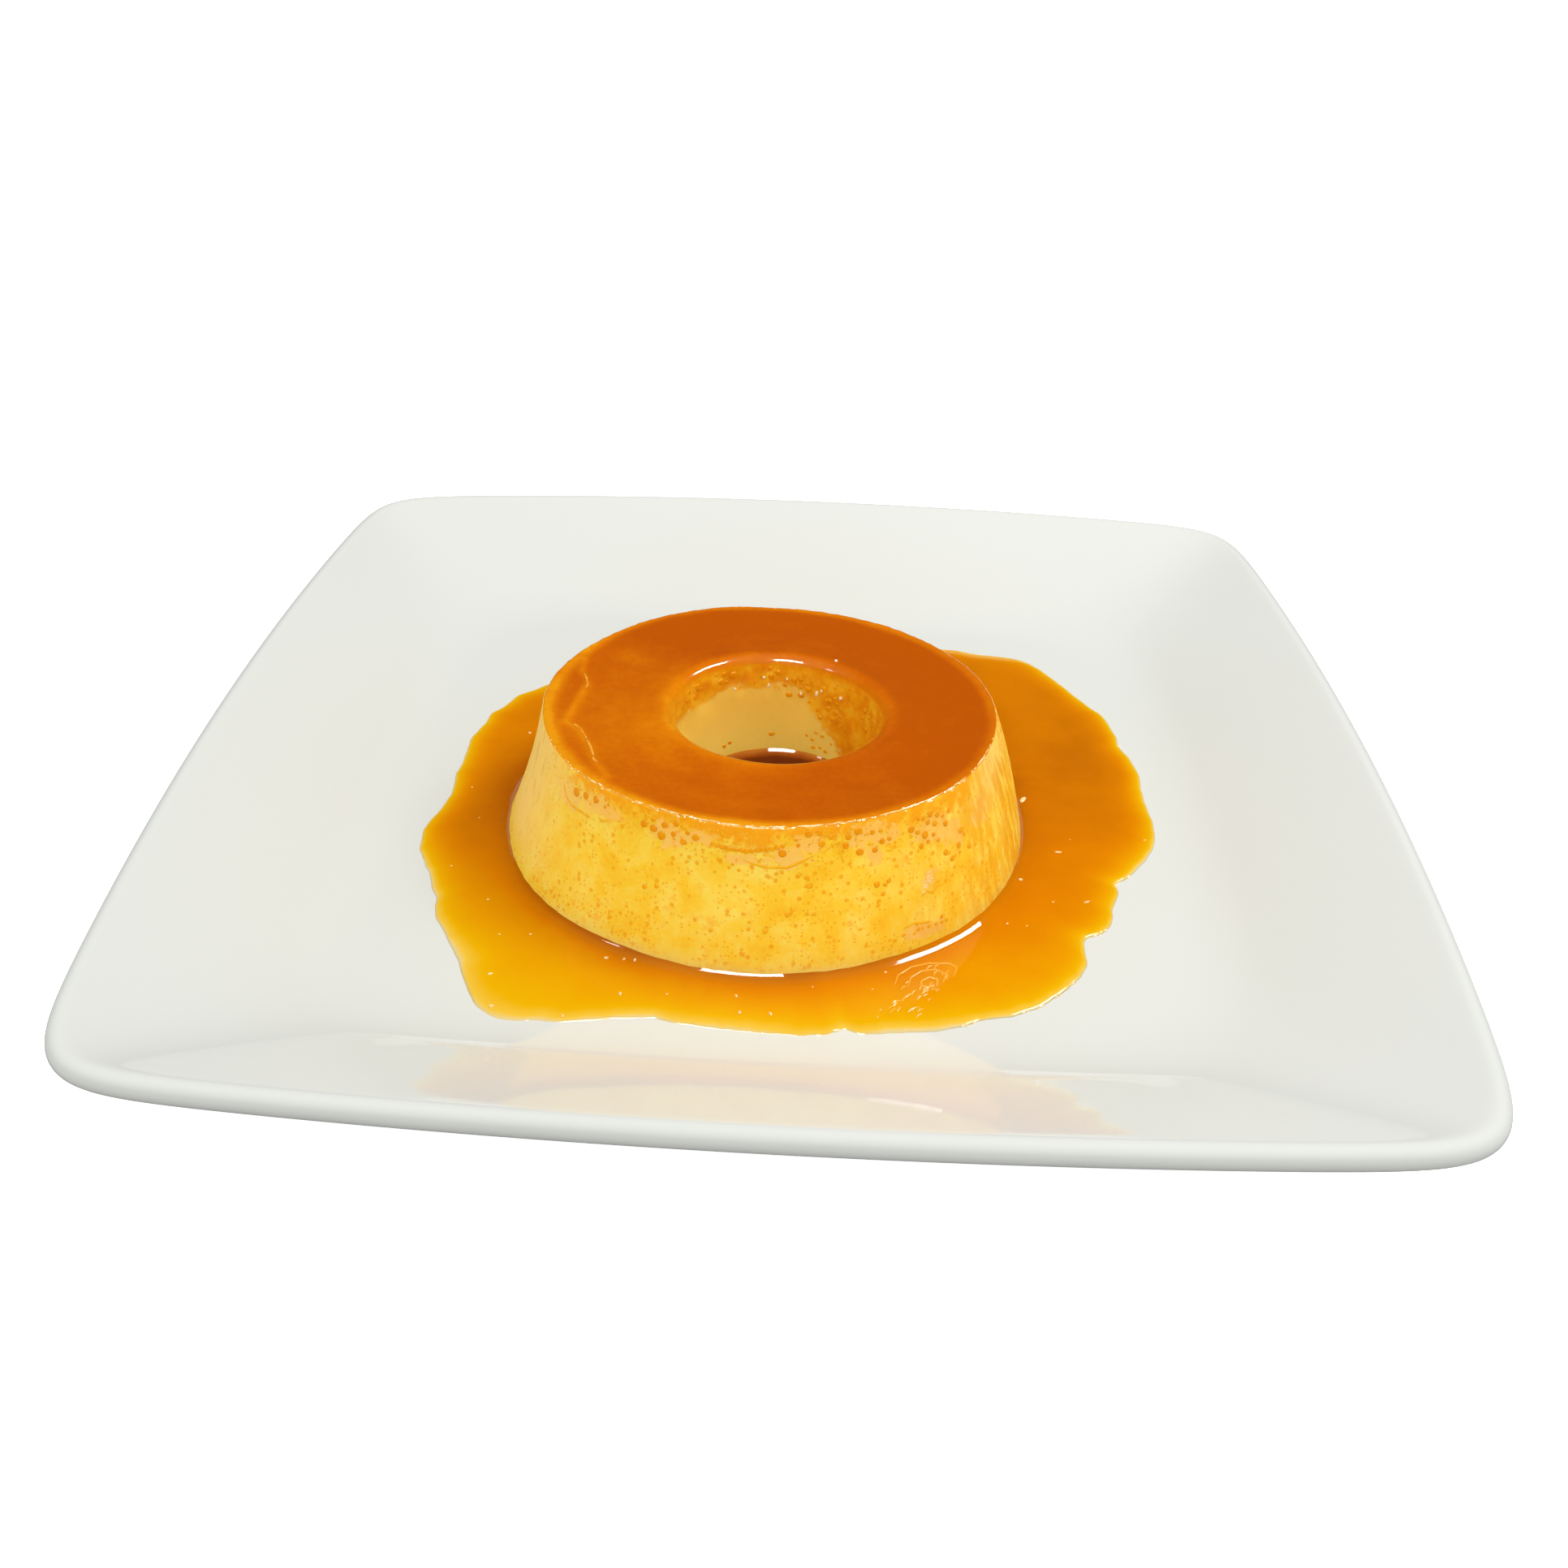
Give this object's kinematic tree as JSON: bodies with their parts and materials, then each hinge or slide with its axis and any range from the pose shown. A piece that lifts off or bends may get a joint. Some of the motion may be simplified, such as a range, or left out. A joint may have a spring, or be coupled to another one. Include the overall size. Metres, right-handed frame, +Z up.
{
  "type": "caramel pudding on a plate",
  "caption": "Ring-shaped egg custard turned out on a square white porcelain plate, with caramel soaked into its top, caught in its hole and spread round it.",
  "frame": {"origin": "middle of the plate, on the surface that its foot ring stands on", "axes": "+Z up, +X to the diner's right, +Y away from the diner"},
  "size_m": [0.2648, 0.2648, 0.0378],
  "materials": {
    "porcelain": "gloss",
    "custard": "satin",
    "caramel_sauce": "polished",
    "dark_caramel": "polished"
  },
  "bodies": {
    "root": {"plate": "porcelain", "pudding": "custard", "caramel_puddle": "caramel_sauce", "caramel_pool": "dark_caramel"}
  },
  "joints": []
}
